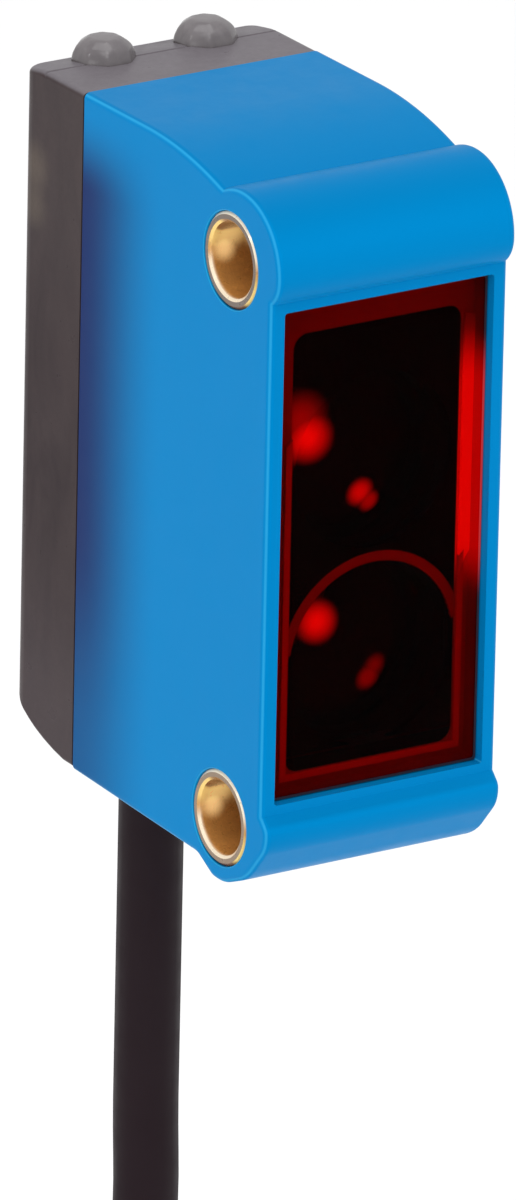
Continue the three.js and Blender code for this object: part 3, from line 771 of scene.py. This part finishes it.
# ------------------------------------------------------------------ window and optics
def make_window(looks):
    """Red filter plate, and the tray-shaped gasket that holds it."""
    def inside(margin):
        """The outline of the window, moved in by a margin."""
        return rectangle(WINDOW_LOW.x + margin, WINDOW_HIGH.x - margin,
                         WINDOW_LOW.z + margin, WINDOW_HIGH.z - margin, 0.15)

    plate = prism("window_plate", inside(GASKET_RIM + 0.02), "Y", WINDOW_LOW.y, PLATE_BACK, (0.06, 0.0),
                  steps=3, hold=0.05)
    publish(plate, looks["red_window"], ["front_window"])

    front, back = WINDOW_LOW.y + 0.05, SEAL_HIGH.y
    tray = prism("window_gasket", inside(0), "Y", front, back)
    seat = prism("seat", inside(GASKET_RIM), "Y", front - 1, PLATE_BACK + 0.15)
    hole = prism("hole", rectangle(*GASKET_OPENING, 0.7), "Y", front - 1, back + 1)
    publish(carve(tray, seat, hole), looks["grey_silicone"], ["window_seal"])


def make_chamber_edges(looks):
    """The lip round the receiver's chamber and the pale side wall of the emitter's."""
    x0, x1, z0, z1 = GASKET_OPENING
    lip, front, back = 0.32, PLATE_BACK + 0.03, PLATE_BACK + 0.14
    lip_outline = [(x0 - lip, 4.6), (x0 - lip, z0 - lip), (x1 + lip, z0 - lip), (x1 + lip, -1.6),
                   (x1 + 0.02, -1.9), (x1, z0), (x0, z0), (x0, 4.9)]
    band = prism("chamber_lip", lip_outline, "Y", front, back, (0.02, 0.0), steps=2, hold=0.02)
    publish(band, looks["chamber_lip"])
    near, far = x1 + 0.05, x1 + 1.0
    wall_outline = [(near, -2.8), (near + 0.35, -2.0), (far, -1.2), (far, z1 - 0.6), (near + 0.05, z1 - 0.4)]
    wall = prism("chamber_wall", wall_outline, "Y", front, back, (0.02, 0.0), steps=2, hold=0.02)
    publish(wall, looks["chamber_wall"])


def lens_profile(low, high, radius, sag, edge=0.06):
    """Half section of a plano-convex lens that bulges towards -Y."""
    ball = (radius ** 2 + sag ** 2) / (2 * sag)
    rim = low + sag
    steps = 14
    reaches = [radius * (1 - k / steps) for k in range(1, steps + 1)]
    curve = [(reach, rim - math.sqrt(ball ** 2 - reach ** 2) + ball - sag) for reach in reaches]
    return [(0, high), (radius - edge, high), (radius, high - edge), (radius, rim + edge),
            (radius - edge, rim), *curve]


def make_optics(looks):
    """Carrier with two wells, an aperture plate in front of it, and the two lenses."""
    seat_back = LENS_HIGH.y + 0.1
    outline = rectangle(CARRIER_LOW.x, CARRIER_HIGH.x, CARRIER_LOW.z, CARRIER_HIGH.z, 0.3)
    carrier = prism("carrier_body", outline, "Y", CARRIER_LOW.y, CARRIER_HIGH.y, (0.1, 0.1), steps=3)
    for z in (EMITTER_Z, RECEIVER_Z):
        well = [(0, -3), (LENS_R + 0.1, -3), (LENS_R + 0.1, seat_back), (LENS_R - 0.4, seat_back),
                (LENS_R - 0.4, 8), (0, 8)]
        carve(carrier, turned("well", well, (MID_X, 0, z), "Y"))
    publish(carrier, looks["aperture_plate"], ["optics_carrier"])

    inner, outer = 4.17, 4.62
    collar_x, collar_z = MID_X + 0.38, RECEIVER_Z - 0.25
    outline = rectangle(LEFT + 1.3, RIGHT - 1.3, -9.7, 9.7, 0.3)
    plate = prism("aperture_plate", outline, "Y", PLATE_FRONT, PLATE_FRONT + 0.3)
    for x, z, radius in ((MID_X + 0.3, EMITTER_Z, 4.0), (collar_x, collar_z, inner)):
        carve(plate, turned("aperture", [(0, -3), (radius, -3), (radius, 0), (0, 0)], (x, 0, z), "Y"))
    publish(plate, looks["aperture_plate"])

    # Only the collar's upper arc is built: a pale half ring that stands in for the lit half of the lens
    # bezel, whose lower half lies in shade.
    centre = (collar_x, collar_z)
    collar = arc(centre, outer, 12, 172, 40) + arc(centre, inner, 172, 12, 40)
    rim = prism("receiver_collar", collar, "Y", PLATE_FRONT - 0.04, PLATE_FRONT + 0.1)
    publish(rim, looks["receiver_collar"])

    for node, z in (("emitter_lens", EMITTER_Z), ("receiver_lens", RECEIVER_Z)):
        section = lens_profile(LENS_LOW.y, LENS_HIGH.y, LENS_R, 0.7)
        lens = turned(f"{node}_dome", section, (MID_X, 0, z), "Y")
        publish(lens, looks[node], [node])


# ------------------------------------------------------------------ rear cover
def make_cover(looks):
    """Smoke-grey shell: its underside rises towards the back in a line and a quarter round."""
    bottom, slope, sweep = -14.46, 0.6, 2.3
    plan = soft_outline([(LEFT, 8, 0), (RIGHT, 8, 0), (RIGHT, COVER_BACK, COVER_CORNERS["right"]),
                         (LEFT, COVER_BACK, COVER_CORNERS["left"])], steps=10)
    cover = prism("cover_shell", plan, "Z", bottom, COVER_TOP, (0.2, 0.25), steps=5)
    top_from, bottom_to = 14, -12
    droop = 0.25
    groove, groove_depth = 0.08, 0.07
    bends = (12.8, 13.6, 14.4, 15.0, 15.6, 16.1, 16.5, 16.8)
    for y in (*bends, RIDGE_Y - groove, RIDGE_Y, RIDGE_Y + groove):
        split_at(cover, (0, y, 0), (0, 1, 0))
    for vertex in cover.data.vertices:
        y, z = vertex.co.y, vertex.co.z
        if z > top_from:
            vertex.co.z -= droop * smooth_step(y, RIDGE_Y, COVER_BACK)
            if abs(y - RIDGE_Y) < 0.01:
                vertex.co.z -= groove_depth
        if z < bottom_to:
            along = min(1.0, max(0.0, (y - COVER_FRONT) / (COVER_BACK - COVER_FRONT)))
            vertex.co.z += slope * along + sweep * (1 - math.sqrt(1 - along ** 2))
    slice_off(cover, (0, COVER_FRONT, 0), (0, -1, 0))
    inside = prism("cover_inside", rectangle(LEFT + WALL, RIGHT - WALL, 10, 16, 0.4), "Z", -12, 15.5)
    tools = [inside]
    opening = [(0, 15.5), (2.25, 15.5), (2.25, COVER_BACK - 0.2), (2.4, COVER_BACK - 0.03),
               (2.6, COVER_BACK + 0.1), (2.6, COVER_BACK + 1), (0, COVER_BACK + 1)]
    for z in ADJUSTER_Z.values():
        tools.append(turned("opening", opening, (MID_X, 0, z), "Y"))
    outlet_r = 1.85
    outlet = [(0, -16), (outlet_r, -16), (outlet_r, -9), (0, -9)]
    tools.append(turned("outlet", outlet, (MID_X, CABLE_ROUTE[0][1], 0), "Z"))
    carve(cover, *tools)
    publish(cover, looks["smoke_plastic"], ["rear_cover"])
    for side, x in (("left", MID_X - DOME_OFFSET), ("right", MID_X + DOME_OFFSET)):
        make_dome(f"indicator_dome_{side}", x, looks)


def make_dome(name, x, looks):
    """Light outlet of the indicators: an eight-sided cushion with soft edges."""
    base, foot, shoulder, crown = 15.9, 16.74, 17.23, 17.57
    profile = [(0, base), (DOME_R, base), (DOME_R, foot), (0.84 * DOME_R, shoulder),
               (0.5 * DOME_R, crown), (0, crown)]
    sides = 8
    dome = turned(name, profile, (0, 0, 0), "Z", sides)
    dome.data.transform(Matrix.Translation((x, DOME_Y, 0)) @ Matrix.Rotation(math.pi / sides, 4, "Z"))
    soften = dome.modifiers.new("soften", "BEVEL")
    soften.width, soften.segments, soften.limit_method = 0.16, 4, "ANGLE"
    soften.angle_limit = math.radians(12)
    publish(apply_modifiers(dome), looks["dome_plastic"])


def make_scale_marks(looks):
    """Raised ticks on the back: a dial round the sensitivity adjuster, two ends for the mode selector."""
    inner, outer, half = 2.85, 3.25, 0.09
    proud = 0.07
    marks = None
    dials = [(ADJUSTER_Z["sensitivity_adjuster"], range(-135, 136, 27)),
             (ADJUSTER_Z["mode_selector"], (-90, 90))]
    for z, angles in dials:
        for angle in angles:
            longer = 0.25 if abs(angle) in (135, 90) else 0.0
            tick = prism("tick", rectangle(-half, half, inner, outer + longer, 0.05, 3), "Y",
                         COVER_BACK - 0.2, COVER_BACK + proud, (0, 0.03), steps=2, hold=0.02)
            turn = Matrix.Rotation(math.radians(angle), 4, "Y")
            tick.data.transform(Matrix.Translation((MID_X, 0, z)) @ turn)
            marks = tick if marks is None else carve(marks, tick, operation="UNION")
    marks.name = "scale_marks"
    publish(marks, looks["smoke_plastic"])


def make_adjusters(looks):
    """Slotted heads on stems; a screwdriver turns them from behind."""
    head, stem, front, shoulder, back = 2.1, 1.3, 14.5, 16.0, 16.8
    edge, groove = 0.14, 0.12
    profile = [(0, front), (stem - edge, front), (stem, front + edge), (stem, shoulder),
               (head - 0.05, shoulder), (head, shoulder + 0.05), (head, back - edge), (head - edge, back),
               (1.86, back), (1.78, back - groove), (0, back - groove)]
    slots = {"sensitivity_adjuster": (0, 90), "mode_selector": (0,)}
    bodies = {"sensitivity_adjuster": "sensitivity_rotor", "mode_selector": "mode_rotor"}
    for node, z in ADJUSTER_Z.items():
        knob = turned(f"{node}_head", profile, (MID_X, 0, z), "Y")
        place = Matrix.Translation((MID_X, 0, z))
        for angle in slots[node]:
            slot = prism("slot", rectangle(-1.6, 1.6, -0.3, 0.3, 0.12), "Y", back - 0.5, back + 1)
            slot.data.transform(place @ Matrix.Rotation(math.radians(angle), 4, "Y"))
            carve(knob, slot)
        arrow = prism("arrow", [(1.1, -0.5), (1.75, 0.0), (1.1, 0.5)], "Y", back - 0.35, back + 1)
        arrow.data.transform(place @ Matrix.Rotation(math.radians(-90), 4, "Y"))
        carve(knob, arrow)
        publish(knob, looks["white_plastic"], [node], bodies[node])


def make_grommet(looks):
    """Rubber bush round the cable, with a rolled lower lip."""
    low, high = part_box("cable_grommet")
    bottom, top, outer, inner = low.z / MM, high.z / MM, (high.x - low.x) / 2 / MM, CABLE_D / 2 + 0.08
    lip = 0.12
    profile = [(inner, bottom + lip), (inner + lip, bottom), (outer - lip, bottom), (outer, bottom + lip),
               (outer, top - lip), (outer - lip, top), (inner, top)]
    bush = turned("grommet_bush", profile, (*CABLE_ROUTE[0][:2], 0), "Z")
    publish(bush, looks["rubber"], ["cable_grommet"])


def make_tie(node, degrees, reach, looks):
    """Cable tie round the section of the coil: a band, its lock and the cut tail."""
    inner, half_coil, play, band, half_band = 13.4, 9.0, 0.25, 0.6, 1.25
    x = half_coil + play
    low, high = inner - play, reach + play
    loop = prism("loop", rectangle(-x - band, x + band, low - band, high + band, 1.6), "Z",
                 -half_band, half_band, (0.12, 0.12), steps=3, hold=0.03)
    hole = prism("hole", rectangle(-x, x, low, high, 1.1), "Z", -half_band - 1, half_band + 1)
    carve(loop, hole)
    top = high + band
    lock = prism("lock", rectangle(-6.6, -2.8, top - 0.3, top + 1.5, 0.4), "Z", -1.9, 1.9, (0.3, 0.3),
                 steps=3, hold=0.05)
    tail = prism("tail", rectangle(-9.2, -6.0, top + 0.35, top + 0.85, 0.18), "Z", -half_band, half_band,
                 (0.1, 0.1), steps=2, hold=0.03)
    carve(loop, lock, tail, operation="UNION")
    loop.name = f"{node}_band"
    loop.data.transform(Matrix.Translation(COIL_CENTRE) @ Matrix.Rotation(math.radians(degrees), 4, "X"))
    return publish(loop, looks["tie_plastic"], [node])


def make_tail(looks):
    """Four stripped cores that fan out of the sheath's end, each with a crimped ferrule."""
    core_r, lead_length, ferrule_length, fan = 0.42, 16.0, 6.0, 1.6
    starts = {"brown": (-0.5, -0.5), "white": (0.5, -0.5), "blue": (-0.5, 0.5), "black": (0.5, 0.5)}
    made = []
    for i, (colour, (dx, dy)) in enumerate(starts.items()):
        x, y0, y1 = TAIL_END.x + dx, TAIL_END.y + dy, TAIL_END.y + (i - 1.5) * fan
        top, end = TAIL_END.z, TAIL_END.z - lead_length
        route = [(x, y0, top), (x, y0 + 0.2 * (y1 - y0), top - 4), (x, y0 + 0.8 * (y1 - y0), top - 10),
                 (x, y1, end)]
        data = bpy.data.curves.new(f"lead_{colour}_core", "CURVE")
        data.dimensions, data.bevel_depth, data.bevel_resolution = "3D", core_r * MM, 4
        data.resolution_u, data.use_fill_caps = 12, True
        spline = data.splines.new("BEZIER")
        spline.bezier_points.add(len(route) - 1)
        for handle, point in zip(spline.bezier_points, route):
            handle.co = Vector(point) * MM
            handle.handle_left_type = handle.handle_right_type = "AUTO"
        data.materials.append(looks[f"core_{colour}"])
        lead = bpy.data.objects.new(f"lead_{colour}_core", data)
        bpy.context.collection.objects.link(lead)
        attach(lead, "sensor")
        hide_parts(f"lead_{colour}")

        r, high, low = 0.35, end - 0.3, end - 0.3 - ferrule_length
        profile = [(0, high), (r + 0.12, high), (r + 0.02, high - 0.45), (r, high - 0.6)]
        for k in range(4):
            ring = high - 1.6 - 0.9 * k
            profile += [(r, ring + 0.3), (r - 0.06, ring + 0.15), (r - 0.06, ring - 0.15), (r, ring - 0.3)]
        profile += [(r, low + 0.1), (r - 0.1, low), (0, low)]
        ferrule = turned(f"ferrule_{colour}_sleeve", profile, (x, y1, 0), "Z", 32)
        publish(ferrule, looks["tinned_steel"], [f"ferrule_{colour}"])
        made += [lead, ferrule]
    return made


# ------------------------------------------------------------------ the build
looks = make_looks()
make_camera()
cable = make_cable(looks)
dress_cad_nodes(looks)
make_housing(looks)
make_sleeves(looks)
make_window(looks)
make_chamber_edges(looks)
make_optics(looks)
make_cover(looks)
make_scale_marks(looks)
make_adjusters(looks)
make_grommet(looks)
ties = [make_tie("coil_tie_upper", 68, 25.6, looks), make_tie("coil_tie_lower", -90, 22.4, looks)]
ties + make_tail(looks)
make_floor()
make_light()
